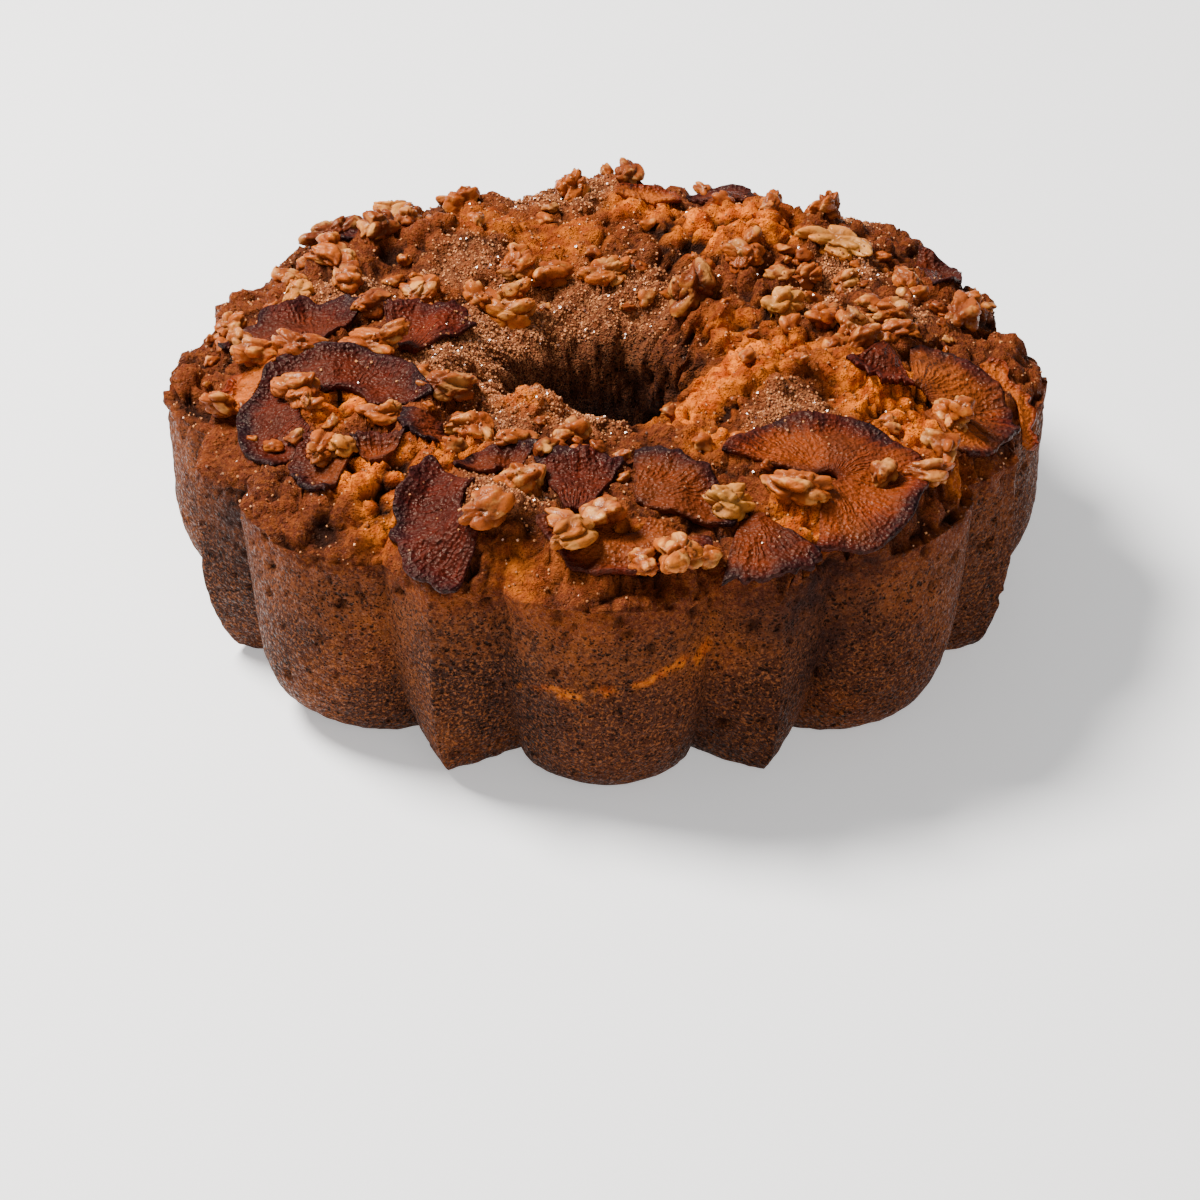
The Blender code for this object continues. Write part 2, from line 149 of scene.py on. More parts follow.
# Walnut pieces: angle, distance, length, width, height, turn of the long side, bend, and a tone
# from 0 for dark red-brown to 1 for cream
WALNUTS = (
    (-70, 0.095, 0.0155, 0.013, 0.0085, 120, 0.25, 0.50),
    (-86, 0.101, 0.015, 0.0095, 0.0075, 10, 0.10, 0.65),
    (-84, 0.089, 0.0165, 0.011, 0.008, -20, 0.30, 0.40),
    (-87, 0.070, 0.02, 0.012, 0.0085, 150, 0.20, 0.50),
    (-101, 0.114, 0.013, 0.009, 0.0075, 75, 0.20, 0.45),
    (-134, 0.116, 0.019, 0.013, 0.01, 40, 0.10, 0.05),
    (-136, 0.101, 0.013, 0.011, 0.0095, 80, 0.25, 0.15),
    (-147, 0.119, 0.015, 0.009, 0.0075, 20, 0.20, 0.75),
    (-125, 0.100, 0.016, 0.011, 0.008, 140, 0.30, 0.40),
    (-113, 0.101, 0.012, 0.0095, 0.008, 95, 0.15, 0.85),
    (-124, 0.068, 0.0135, 0.0105, 0.009, 100, 0.30, 0.35),
    (-107, 0.072, 0.014, 0.009, 0.0075, 40, 0.20, 0.20),
    (-156, 0.112, 0.013, 0.0095, 0.0085, 15, 0.30, 0.50),
    (-152, 0.058, 0.0145, 0.011, 0.0095, 60, 0.20, 0.40),
    (180, 0.051, 0.016, 0.0095, 0.008, 20, 0.30, 0.50),
    (-138, 0.043, 0.016, 0.0095, 0.008, 0, 0.35, 0.70),
    (-174, 0.104, 0.013, 0.01, 0.009, 100, 0.30, 0.45),
    (147, 0.046, 0.018, 0.012, 0.013, 75, 0.25, 0.15),
    (139, 0.063, 0.014, 0.011, 0.009, 130, 0.20, 0.50),
    (114, 0.058, 0.0135, 0.0105, 0.009, 20, 0.10, 0.85),
    (126, 0.075, 0.0125, 0.0085, 0.008, 60, 0.25, 0.35),
    (129, 0.091, 0.021, 0.013, 0.0085, 160, 0.30, 0.90),
    (141, 0.107, 0.012, 0.008, 0.011, 70, 0.35, 0.35),
    (113, 0.098, 0.0135, 0.0095, 0.008, 110, 0.20, 0.35),
    (101, 0.086, 0.0145, 0.0105, 0.0085, 35, 0.25, 0.35),
    (94, 0.073, 0.013, 0.0095, 0.0085, 100, 0.20, 0.40),
    (103, 0.108, 0.0165, 0.011, 0.0085, 70, 0.20, 0.30),
    (68, 0.107, 0.0155, 0.009, 0.007, 110, 0.30, 0.60),
    (-54, 0.056, 0.016, 0.0095, 0.008, 10, 0.20, 0.20),
    (-36, 0.064, 0.0145, 0.01, 0.0085, 150, 0.35, 0.60),
    (-54, 0.078, 0.014, 0.009, 0.0075, 20, 0.25, 0.55),
    (-51, 0.103, 0.015, 0.0095, 0.008, 75, 0.15, 0.55),
    (-16, 0.085, 0.015, 0.011, 0.0085, 120, 0.20, 0.45),
    (-6, 0.110, 0.0195, 0.012, 0.008, 95, 0.45, 0.75),
    (20, 0.097, 0.0155, 0.011, 0.008, 15, 0.30, 0.90),
    (33, 0.100, 0.02, 0.014, 0.009, -15, 0.15, 0.60),
    (9, 0.1205, 0.017, 0.011, 0.009, 100, 0.25, 0.70),
    (52, 0.1155, 0.015, 0.0095, 0.0075, 20, 0.30, 0.45),
)

# Smaller bits of walnut that stand out: angle, distance, length, tone
BITS = (
    (-84.5, 0.063, 0.011, 0.35), (-133, 0.052, 0.012, 0.45), (-143, 0.046, 0.011, 0.40),
    (-145, 0.105, 0.014, 0.25), (-162, 0.053, 0.014, 0.40), (-77, 0.115, 0.013, 0.45),
    (104, 0.067, 0.012, 0.35), (88, 0.067, 0.011, 0.40), (81, 0.076, 0.012, 0.30),
    (90, 0.085, 0.012, 0.35), (67, 0.110, 0.012, 0.35), (-23, 0.065, 0.012, 0.35),
    (-48, 0.100, 0.012, 0.85), (-15.6, 0.091, 0.013, 0.65), (-17.5, 0.108, 0.016, 0.35),
    (-0.6, 0.103, 0.014, 0.35), (-9, 0.056, 0.012, 0.35), (4.7, 0.123, 0.011, 0.45),
    (177, 0.116, 0.013, 0.20), (120, 0.083, 0.010, 0.60), (151, 0.058, 0.010, 0.45),
    (-117, 0.088, 0.012, 0.45), (-120, 0.110, 0.012, 0.60), (-94, 0.108, 0.011, 0.60),
    (14, 0.116, 0.010, 0.55), (46, 0.108, 0.011, 0.30), (58, 0.112, 0.012, 0.35),
)


def on_plan(angle, distance):
    turn = math.radians(angle)
    return distance * math.sin(turn), -distance * math.cos(turn)


def smooth_step(low, high, value):
    t = min(1.0, max(0.0, (value - low) / (high - low)))
    return t * t * (3 - 2 * t)


def patches(table, x, y):
    """The strongest of a table's patches at a place of the top."""
    best = 0.0
    for px, py, spread, strength in table:
        away = ((100 * x - px) ** 2 + (100 * y - py) ** 2) / (spread * spread)
        if away < 5:
            best = max(best, strength * math.exp(-away * away * 0.7))
    return best


def rim_height(angle):
    turn = math.radians(angle)
    uneven = noise.noise(Vector((2.2 * math.sin(turn), 2.2 * math.cos(turn), 4.0)))
    return RIM_HEIGHT + RIM_TILT * math.cos(turn) + 0.0012 * math.sin(turn) + 0.003 * uneven


def wall_radius(angle, share):
    fall = 1 - share
    valley = VALLEY_RADIUS - VALLEY_UNDERCUT * fall**2.5
    pitch = 360 / FLUTE_PAIRS
    off_lobe = abs((angle + pitch / 2) % pitch - pitch / 2)
    if off_lobe <= LOBE_HALF_ANGLE:
        peak = LOBE_RADIUS - LOBE_UNDERCUT * fall**6
        bulge = (1 - (off_lobe / LOBE_HALF_ANGLE) ** 2) ** 0.75
    else:
        peak = RIDGE_RADIUS - RIDGE_UNDERCUT * fall**4
        bulge = 1 - (pitch / 2 - off_lobe) / (pitch / 2 - LOBE_HALF_ANGLE)
    return valley + (peak - valley) * bulge


def crust_height(angle, distance):
    outer = wall_radius(angle, 1)
    inwards = (outer - distance) / (outer - LIP_RADIUS)
    if inwards < 0.5:
        crown = CROWN_RISE * (1 - (1 - max(inwards, 0) / 0.5) ** 2)
    else:
        crown = CROWN_RISE - LIP_DROP * ((inwards - 0.5) / 0.5) ** 2
    x, y = on_plan(angle, distance)
    lumps = noise.noise(Vector((x, y, 0.1)) * 55) + 0.6 * noise.noise(Vector((x, y, 0.3)) * 120)
    height = rim_height(angle) + crown + LUMP_DEPTH * lumps * min(1, max(inwards, 0) / 0.08)
    for mound_angle, mound_distance, spread, rise in MOUNDS:
        mx, my = on_plan(mound_angle, mound_distance)
        apart = math.hypot(x - mx, y - my) / spread
        height += rise * math.exp(-apart * apart)
    return height


def crumb_relief(x, y, z, crumbly):
    """Lumps and cracks of baked crumb, as a height along the surface's normal."""
    point = Vector((x, y, z))
    warp = noise.noise_vector(point * 160) * 0.0016
    near = noise.voronoi((point + warp) * 135)[0]
    small = noise.voronoi((point + warp) * 330)[0]
    lump = max(0.0, 1 - (near[0] / 0.75) ** 2)
    crack = math.exp(-(((near[1] - near[0]) / 0.16) ** 2))
    knob = max(0.0, 1 - (small[0] / 0.75) ** 2)
    fine = noise.noise(point * 620)
    swell = noise.noise(point * 75)
    rough = noise.noise(point * 170 + Vector((0, 0, 9)))
    height = crumbly * (0.0022 * lump - 0.0024 * crack + 0.0038 * swell + 0.0026 * rough)
    return height + (0.15 + 0.85 * crumbly) * (0.0014 * knob - 0.0003) + 0.0005 * fine


def flute_angles():
    pitch = 360 / FLUTE_PAIRS
    ridge = pitch - 2 * LOBE_HALF_ANGLE
    steps = [-LOBE_HALF_ANGLE + 2 * LOBE_HALF_ANGLE * i / LOBE_COLUMNS for i in range(LOBE_COLUMNS)]
    steps += [LOBE_HALF_ANGLE + ridge * i / RIDGE_COLUMNS for i in range(RIDGE_COLUMNS)]
    return [pitch * pair + step for pair in range(FLUTE_PAIRS) for step in steps]


def pit_depth(x, y, z, share):
    """Burst bubbles of the wall, most of them near the rim."""
    point = Vector((x, y, z))
    near = noise.voronoi(point * 210)
    chosen = abs(noise.cell(near[1][0] * 37.7))
    often = 0.03 + 0.22 * smooth_step(0.6, 1.0, share)
    depth = 0.0
    if chosen < often:
        depth += 0.0022 * max(0.0, 1 - (near[0][0] / 0.42) ** 2)
    near = noise.voronoi(point * 430)
    if abs(noise.cell(near[1][0] * 51.3)) < 0.10 + 0.25 * smooth_step(0.5, 1.0, share):
        depth += 0.0010 * max(0.0, 1 - (near[0][0] / 0.45) ** 2)
    return depth


def cake_grid():
    """Points of the crust before its relief, with what each one is: share up the wall, and inwards over the top."""
    angles = flute_angles()
    columns, kinds = [], []
    for angle in angles:
        rim = rim_height(angle)
        foot = wall_radius(angle, 0)
        column = [(0.050, 0.0), (0.075, 0.0), (0.90 * foot, 0.0), (0.955 * foot, 0.0002)]
        kind = [(-1.0, -1.0)] * 4
        for i in range(WALL_ROWS):
            share = i / WALL_ROWS
            tuck = 0.0022 * math.exp(-((share * rim / 0.0018) ** 1.2))
            column.append((wall_radius(angle, share) - tuck, max(0.0006, share * rim)))
            kind.append((share, -1.0))
        edge = wall_radius(angle, 1)
        for i in range(TOP_ROWS):
            inwards = (i + 0.4) / (TOP_ROWS - 0.6)
            distance = edge + (LIP_RADIUS - edge) * inwards
            height = crust_height(angle, distance) - 0.0022 * math.exp(-((inwards / 0.018) ** 1.5))
            column.append((distance, height))
            kind.append((1.0, inwards))
        lip = crust_height(angle, LIP_RADIUS)
        hole = [(LIP_RADIUS, lip), (HOLE_TOP_RADIUS + 0.003, lip - 0.006), (HOLE_TOP_RADIUS, lip - 0.018)]
        hole += [(0.0285, 0.034), (HOLE_FOOT_RADIUS - 0.001, 0.004), (0.040, 0.0006)]
        lengths = [0.0]
        for (r0, z0), (r1, z1) in zip(hole, hole[1:]):
            lengths.append(lengths[-1] + math.hypot(r1 - r0, z1 - z0))
        along = np.linspace(0, lengths[-1], HOLE_ROWS + 1)[1:]
        radii = np.interp(along, lengths, [p[0] for p in hole])
        heights = np.interp(along, lengths, [p[1] for p in hole])
        column += list(zip(radii, heights))
        kind += [(0.5, 1.0 + float(s) / lengths[-1]) for s in along]
        columns.append([(*on_plan(angle, r), z) for r, z in column])
        kinds.append(kind)
    return angles, np.array(columns), np.array(kinds)


def grid_normals(points):
    """Normals of a grid that closes on itself both ways, pointing out of the cake."""
    along = np.roll(points, -1, 0) - np.roll(points, 1, 0)
    up = np.roll(points, -1, 1) - np.roll(points, 1, 1)
    normals = np.cross(along, up)
    return normals / np.maximum(np.linalg.norm(normals, axis=2, keepdims=True), 1e-12)


def grid_faces(columns, rows):
    index = np.arange(columns * rows).reshape(columns, rows)
    corners = [index, np.roll(index, -1, 0), np.roll(np.roll(index, -1, 0), -1, 1), np.roll(index, -1, 1)]
    return np.stack(corners, axis=2).reshape(-1, 4)


def tree_of(points, faces):
    return BVHTree.FromPolygons([tuple(p) for p in points], [tuple(f) for f in faces])


def look_down(trees, x, y):
    """Height of the highest of some surfaces at a place, or None."""
    start = Vector((x, y, 0.3))
    found = [tree.ray_cast(start, Vector((0, 0, -1)))[0] for tree in trees]
    heights = [hit.z for hit in found if hit]
    return max(heights) if heights else None


def add_piece(name, points, faces, material, looks, smooth=True):
    """An object from points and faces, with one colour attribute that holds its looks."""
    mesh = bpy.data.meshes.new(name)
    mesh.from_pydata([tuple(p) for p in points], [], [tuple(int(i) for i in f) for f in faces])
    mesh.materials.append(material)
    colours = mesh.color_attributes.new("looks", "FLOAT_COLOR", "POINT")
    colours.data.foreach_set("color", np.asarray(looks, dtype=np.float32).reshape(-1))
    if smooth:
        mesh.shade_smooth()
    piece = bpy.data.objects.new(name, mesh)
    bpy.context.scene.collection.objects.link(piece)
    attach(piece, "root")
    return piece


# ---------------------------------------------------------------- shapes


def rest_height(x, y, laid):
    """Where a slice comes to rest: on the crust, over the rim's edge, or on the slices laid before."""
    angle, distance = math.degrees(math.atan2(x, -y)), math.hypot(x, y)
    edge = wall_radius(angle, 1) - 0.004
    height = crust_height(angle, min(distance, edge)) - 0.7 * max(0, distance - edge)
    return max(height, (look_down(laid, x, y) or 0) + 0.0003)


def slice_points(name, form, laid):
    """Upper and lower points of a slice, as grids, and its looks."""
    core, inner, outer, first, last, curl, orange, char, golden = form
    n, m = SLICE_SPOKES + 1, SLICE_RINGS + 1
    plan = np.zeros((n, m, 2))
    heights = np.zeros((n, m))
    out_share = np.zeros((n, m))
    ribs = max(4, round((last - first) / 360 * math.tau * outer / 0.0045))
    ribbed = 1.0 if name in ("right_large", "right_half") else 0.10
    for i in range(n):
        share = i / SLICE_SPOKES
        turn = math.radians(first + (last - first) * share)
        ragged = 1 + 0.10 * noise.noise(Vector((core[0], core[1], 0.14 * share)) * 90)
        ragged += 0.025 * noise.noise(Vector((core[0] * 50, core[1] * 50, 14 * share)))
        for j in range(m):
            out = j / SLICE_RINGS
            distance = inner + (outer * ragged - inner) * out
            wobble = 0.0009 * noise.noise(Vector((distance * 140, core[0] * 90, 3 + 9 * share)))
            x = core[0] + distance * math.cos(turn) - wobble * math.sin(turn)
            y = core[1] + distance * math.sin(turn) + wobble * math.cos(turn)
            plan[i, j] = x, y
            heights[i, j] = rest_height(x, y, laid) + SLICE_THICKNESS
            out_share[i, j] = out
    for _ in range(24):
        padded = np.pad(heights, 1, mode="edge")
        heights = 0.4 * heights + 0.15 * (padded[:-2, 1:-1] + padded[2:, 1:-1] + padded[1:-1, :-2] + padded[1:-1, 2:])
    looks = np.zeros((n, m, 4))
    thick = np.zeros((n, m))
    for i in range(n):
        share = i / SLICE_SPOKES
        for j in range(m):
            x, y = plan[i, j]
            out = out_share[i, j]
            point = Vector((x, y, 0.02))
            rib = math.sin(ribs * math.tau * share + 2.2 * noise.noise(point * 130))
            heights[i, j] += 0.00034 * rib * ribbed * smooth_step(0.05, 0.4, out) * (1 - 0.5 * smooth_step(0.8, 1, out))
            heights[i, j] += 0.0011 * noise.noise(point * 120) + 0.0005 * noise.noise(point * 330)
            uneven = 0.7 + 0.8 * noise.noise(point * 60 + Vector((7, 0, 0)))
            heights[i, j] += curl * smooth_step(0.62, 1, out) * uneven
            side = min(share, 1 - share) * (last - first) / 57.3 * outer
            margin = min(side, (1 - out) * (outer - inner), out * (outer - inner) + 0.0012)
            thick[i, j] = SLICE_THICKNESS * (1 + 0.25 * noise.noise(point * 200)) * (0.45 + 0.55 * smooth_step(0, 0.0012, margin))
            rim = 1 - smooth_step(0.0, 0.0065 + 0.004 * noise.noise(point * 150), (1 - out) * (outer - inner))
            other = 1 - smooth_step(0.0, 0.0026, min(side, out * (outer - inner)))
            patch = smooth_step(0.12, 0.5, noise.noise(point * 75 + Vector((3, 9, 0))))
            charred = min(1, char * (1.1 * rim + 0.6 * other + 0.7 * patch))
            heart = golden * (1 - smooth_step(0.15, 0.75, abs(out - 0.35) + 0.35 * noise.noise(point * 90)))
            tone = min(1, max(0, orange + 0.30 * rib * ribbed + 0.35 * noise.noise(point * 110 + Vector((0, 5, 0)))))
            looks[i, j] = tone, charred, heart, share * (last - first) / 57.3 * outer * 10
    upper = np.dstack([plan, heights])
    lower = np.dstack([plan, heights - thick])
    return upper, lower, looks


def slice_faces(n, m, start):
    """Quads of a closed sheet of two n by m grids, the upper one first."""
    index = start + np.arange(n * m).reshape(n, m)
    below = index + n * m
    faces = []
    quad = np.stack([index[:-1, :-1], index[1:, :-1], index[1:, 1:], index[:-1, 1:]], axis=2).reshape(-1, 4)
    under = np.stack([below[:-1, :-1], below[:-1, 1:], below[1:, 1:], below[1:, :-1]], axis=2).reshape(-1, 4)
    ring = list(index[:, 0]) + list(index[-1, 1:]) + list(index[-2::-1, -1]) + list(index[0, -2:0:-1])
    for a, b in zip(ring, ring[1:] + ring[:1]):
        faces.append((b, a, a + n * m, b + n * m))
    # the grid's own turn decides which side is up, so both sheets are flipped together if needed
    return np.vstack([quad, under, np.array(faces)])


def icosphere(subdivisions):
    bm = bmesh.new()
    bmesh.ops.create_icosphere(bm, subdivisions=subdivisions, radius=1)
    points = np.array([v.co for v in bm.verts])
    faces = np.array([[v.index for v in f.verts] for f in bm.faces])
    bm.free()
    return points, faces


def walnut_shape(ball, seed, length, width, height, bend, tone, rng):
    """A lobed, furrowed lump of walnut about the origin, with its looks."""
    shift = Vector((seed * 3.1, seed * 1.7, seed * 0.9))
    cuts = []
    for _ in range(rng.choice((0, 1, 1, 2))):
        facing = Vector((rng.gauss(0, 1), rng.gauss(0, 1), rng.gauss(0.25, 0.7))).normalized()
        cuts.append((facing, rng.uniform(0.55, 0.85)))
    points = np.empty((len(ball), 3))
    looks = np.empty((len(ball), 4))
    for i, direction in enumerate(ball):
        p = Vector(direction)
        large = noise.noise(p * 1.15 + shift)
        near = noise.voronoi(p * 0.86 + shift * 1.3 + 0.22 * noise.noise_vector(p * 1.6 + shift))[0]
        groove = math.exp(-(((near[1] - near[0]) / 0.21) ** 1.5))
        wrinkle = math.exp(-((noise.noise(p * 2.6 + shift * 0.7) / 0.10) ** 2))
        small = noise.noise(p * 7.5 + shift)
        radius = 1.08 + 0.36 * large - 0.34 * groove - 0.07 * wrinkle + 0.030 * small
        q = p * radius
        cut = 0.0
        for facing, depth in cuts:
            beyond = q.dot(facing) - depth
            if beyond > 0:
                q = q - facing * beyond * 0.72
                cut = max(cut, smooth_step(0.0, 0.14, beyond))
        q.y += bend * 1.5 * (q.x * q.x - 0.4)
        q.z += 0.22 * bend * (q.x * q.x - 0.4)
        points[i] = q.x * length / 2, q.y * width / 2, q.z * height / 2
        shade = max(0.65 * groove, 0.45 * wrinkle) * (1 - 0.7 * cut)
        looks[i] = min(1, max(0, tone + 0.16 * large)), shade, cut, smooth_step(0.15, 0.75, 1 - near[0])
    return points, looks


def turned(points, turn, tip, roll):
    matrix = Matrix.Rotation(turn, 3, "Z") @ Matrix.Rotation(tip, 3, "Y") @ Matrix.Rotation(roll, 3, "X")
    return points @ np.array(matrix).T


def seat(points, x, y, trees, sink):
    """Moves a piece's points to a place and down until it rests, a little sunk."""
    low = np.median(points[:, 2])
    under = points[points[:, 2] < low]
    under = under[:: max(1, len(under) // 60)]
    gaps = []
    for px, py, pz in under:
        top = look_down(trees, x + px, y + py)
        if top is not None:
            gaps.append(pz - top)
    lift = -np.percentile(gaps, 22) - sink if gaps else 0.07
    return points + np.array([x, y, lift])


# ---------------------------------------------------------------- materials


class Nodes:
    """Short words for building a material's node tree."""

    def __init__(self, name):
        self.material = bpy.data.materials.new(name)
        self.material.use_nodes = True
        self.tree = self.material.node_tree
        self.shader = self.tree.nodes["Principled BSDF"]
        where = self.tree.nodes.new("ShaderNodeTexCoord")
        self.place = where.outputs["Object"]
        apart = self.tree.nodes.new("ShaderNodeSeparateXYZ")
        self.tree.links.new(self.place, apart.inputs[0])
        self.upwards = apart.outputs[2]
        mapping = self.tree.nodes.new("ShaderNodeAttribute")
        mapping.attribute_name = "looks"
        split = self.tree.nodes.new("ShaderNodeSeparateColor")
        self.tree.links.new(mapping.outputs["Color"], split.inputs["Color"])
        self.looks = [split.outputs[0], split.outputs[1], split.outputs[2], mapping.outputs["Alpha"]]

    def put(self, socket, value):
        if hasattr(value, "is_output"):
            self.tree.links.new(value, socket)
        elif isinstance(value, tuple):
            socket.default_value = (*value, 1) if len(value) == 3 and len(socket.default_value) == 4 else value
        else:
            socket.default_value = value

    def noise(self, scale, detail=3, rough=0.6, place=None):
        node = self.tree.nodes.new("ShaderNodeTexNoise")
        self.put(node.inputs["Vector"], place or self.place)
        node.inputs["Scale"].default_value = scale
        node.inputs["Detail"].default_value = detail
        node.inputs["Roughness"].default_value = rough
        return node.outputs[0]

    def cells(self, scale, output="Distance", place=None):
        node = self.tree.nodes.new("ShaderNodeTexVoronoi")
        self.put(node.inputs["Vector"], place or self.place)
        node.inputs["Scale"].default_value = scale
        return node.outputs[output]

    def span(self, value, low, high, to_low=0.0, to_high=1.0):
        node = self.tree.nodes.new("ShaderNodeMapRange")
        node.interpolation_type = "SMOOTHSTEP"
        self.put(node.inputs["Value"], value)
        node.inputs["From Min"].default_value = low
        node.inputs["From Max"].default_value = high
        node.inputs["To Min"].default_value = to_low
        node.inputs["To Max"].default_value = to_high
        return node.outputs["Result"]

    def math(self, kind, a, b=0.0, clamp=False):
        node = self.tree.nodes.new("ShaderNodeMath")
        node.operation = kind
        node.use_clamp = clamp
        self.put(node.inputs[0], a)
        self.put(node.inputs[1], b)
        return node.outputs[0]

    def mix(self, share, a, b, kind="MIX"):
        node = self.tree.nodes.new("ShaderNodeMix")
        node.data_type = "RGBA"
        node.blend_type = kind
        self.put(node.inputs["Factor"], share)
        self.put(node.inputs[6], a)
        self.put(node.inputs[7], b)
        return node.outputs[2]

    def bump(self, height, distance, strength=1.0, normal=None):
        node = self.tree.nodes.new("ShaderNodeBump")
        node.inputs["Strength"].default_value = strength
        node.inputs["Distance"].default_value = distance
        self.put(node.inputs["Height"], height)
        if normal:
            self.put(node.inputs["Normal"], normal)
        return node.outputs[0]

    def finish(self, colour, roughness, normal, specular):
        self.put(self.shader.inputs["Base Color"], colour)
        self.put(self.shader.inputs["Roughness"], roughness)
        self.put(self.shader.inputs["Normal"], normal)
        self.shader.inputs["Specular IOR Level"].default_value = specular
        self.shader.inputs["Specular Tint"].default_value = (1.0, 0.72, 0.50, 1)
        return self.material


def crust_material():
    """Looks: gold, dark (the wall's own darker tone, and painted shade in the hole and the flute valleys), sugar, and
    in alpha painted shade in the hollows (above a half) and the wall (below).
    """
    n = Nodes("baked crust")
    gold, dark, sugar, hollow_shade = n.looks
    broad = n.noise(28, 4)
    fine = n.noise(520, 3)
    speck = n.noise(1100, 3, 0.7)
    top = n.span(n.upwards, 0.055, 0.070)
    colour = n.mix(n.span(broad, 0.35, 0.65), (0.062, 0.0108, 0.0045), (0.140, 0.0255, 0.0072))
    colour = n.mix(n.span(fine, 0.40, 0.72, 0, 0.60), colour, (0.240, 0.056, 0.010))
    colour = n.mix(n.span(speck, 0.50, 0.68, 0, 0.50), colour, (0.300, 0.090, 0.022))
    side = n.mix(n.span(n.noise(14, 3), 0.35, 0.65), (0.024, 0.0070, 0.0044), (0.051, 0.0132, 0.0062))
    side = n.mix(n.span(speck, 0.48, 0.64, 0, 0.70), side, (0.260, 0.078, 0.023))
    band = n.span(n.math("ADD", n.upwards, n.math("MULTIPLY", n.noise(60, 3), 0.02)), 0.052, 0.060)
    side = n.mix(n.math("MULTIPLY", band, n.span(fine, 0.42, 0.60, 0.1, 0.70)), side, (0.150, 0.037, 0.009))
    colour = n.mix(top, side, colour)
    golden = n.mix(n.span(n.noise(190, 4), 0.38, 0.62), (0.42, 0.063, 0.0022), (0.98, 0.225, 0.0050))
    crumb = n.noise(340, 5, 0.7)
    golden = n.mix(n.span(crumb, 0.36, 0.50, 0.50, 0.0), golden, (0.20, 0.028, 0.0035))
    colour = n.mix(n.math("MULTIPLY", gold, n.span(n.noise(110, 4), 0.30, 0.52, 0.30, 1.0)), colour, golden)
    grain = n.cells(1700, "Color")
    frost = n.mix(n.span(grain, 0.25, 0.9), (0.140, 0.034, 0.012), (0.550, 0.215, 0.085))
    colour = n.mix(n.math("MULTIPLY", sugar, n.span(n.noise(120, 3), 0.3, 0.6, 0.45, 0.95)), colour, frost)
    # darker crust: the wall's own blotchy tone, and painted shade in the hole and the flute valleys
    colour = n.mix(n.math("MULTIPLY", dark, n.span(n.noise(150, 4), 0.3, 0.6, 0.35, 0.95)), colour, (0.018, 0.0055, 0.0050))
    pores = n.math("MULTIPLY", n.span(n.cells(1150), 0.16, 0.40, 1, 0), n.span(n.noise(480, 2), 0.42, 0.55))
    pits = n.math("MULTIPLY", n.span(n.cells(520), 0.16, 0.36, 1, 0), n.span(n.noise(210, 2), 0.50, 0.58))
    pores = n.math("MULTIPLY", n.math("MAXIMUM", pores, pits), n.span(top, 0.0, 1.0, 1.0, 0.30))
    # painted shade: near-black inside the pores and pits, whose depth is only a bump
    colour = n.mix(n.math("MULTIPLY", pores, 0.92), colour, (0.008, 0.0020, 0.0012))
    # painted shade: near-black in the hollows, the pits and under the cake
    colour = n.mix(hollow_shade, (0.014, 0.003, 0.0015), colour)
    height = n.math("ADD", n.math("MULTIPLY", fine, 0.8), n.math("MULTIPLY", pores, -0.9))
    height = n.math("ADD", height, n.math("MULTIPLY", speck, 0.35))
    height = n.math("ADD", height, n.math("MULTIPLY", crumb, n.span(top, 0.0, 1.0, 0.5, 1.7)))
    height = n.math("ADD", height, n.math("MULTIPLY", n.cells(1700), n.math("MULTIPLY", sugar, -0.6)))
    rough = n.span(n.noise(900, 2), 0.45, 0.68, 0.80, 0.28)
    return n.finish(colour, rough, n.bump(height, 0.0014, 1.0), 0.10)


def fruit_material():
    """Looks: how orange, how charred, how golden, and the ribs, whose creases get bumps and painted highlight and
    shade.
    """
    n = Nodes("baked fruit")
    orange, char, heart, along = n.looks
    fine = n.noise(520, 3)
    crease_and_painted_highlight = n.math("SINE", n.math("ADD", n.math("MULTIPLY", along, 260.0), n.math("MULTIPLY", n.noise(110, 4), 20.0)))
    crease_and_painted_highlight = n.math("MULTIPLY", n.span(crease_and_painted_highlight, -0.8, 1.0), n.span(n.noise(90, 3), 0.42, 0.68, 0.05, 0.75))
    colour = n.mix(n.span(orange, 0.05, 0.85), (0.034, 0.0034, 0.0028), (0.155, 0.0170, 0.0026))
    colour = n.mix(n.span(n.noise(230, 4), 0.4, 0.7, 0, 0.5), colour, (0.090, 0.0090, 0.0035))
    colour = n.mix(n.math("MULTIPLY", heart, 0.8), colour, (0.44, 0.105, 0.010))
    colour = n.mix(n.math("MULTIPLY", char, n.span(n.noise(240, 3), 0.25, 0.55, 0.55, 1.0)), colour, (0.012, 0.004, 0.006))
    # painted glints: small light specks on the fruit
    colour = n.mix(n.span(n.cells(1400), 0.0, 0.26, 0.09, 0.0), colour, (0.32, 0.09, 0.035))
    # painted highlight on the crease ridges and painted shade in the creases
    colour = n.mix(crease_and_painted_highlight, n.mix(1.0, colour, (0.85, 0.80, 0.80), "MULTIPLY"), n.mix(1.0, colour, (1.5, 1.35, 1.15), "MULTIPLY"))
    height = n.math("ADD", n.noise(300, 4), n.math("MULTIPLY", n.cells(800), 0.5))
    height = n.math("ADD", height, n.math("MULTIPLY", crease_and_painted_highlight, 0.40))
    rough = n.span(fine, 0.35, 0.7, 0.28, 0.62)
    return n.finish(colour, rough, n.bump(height, 0.0012, 1.0), 0.13)


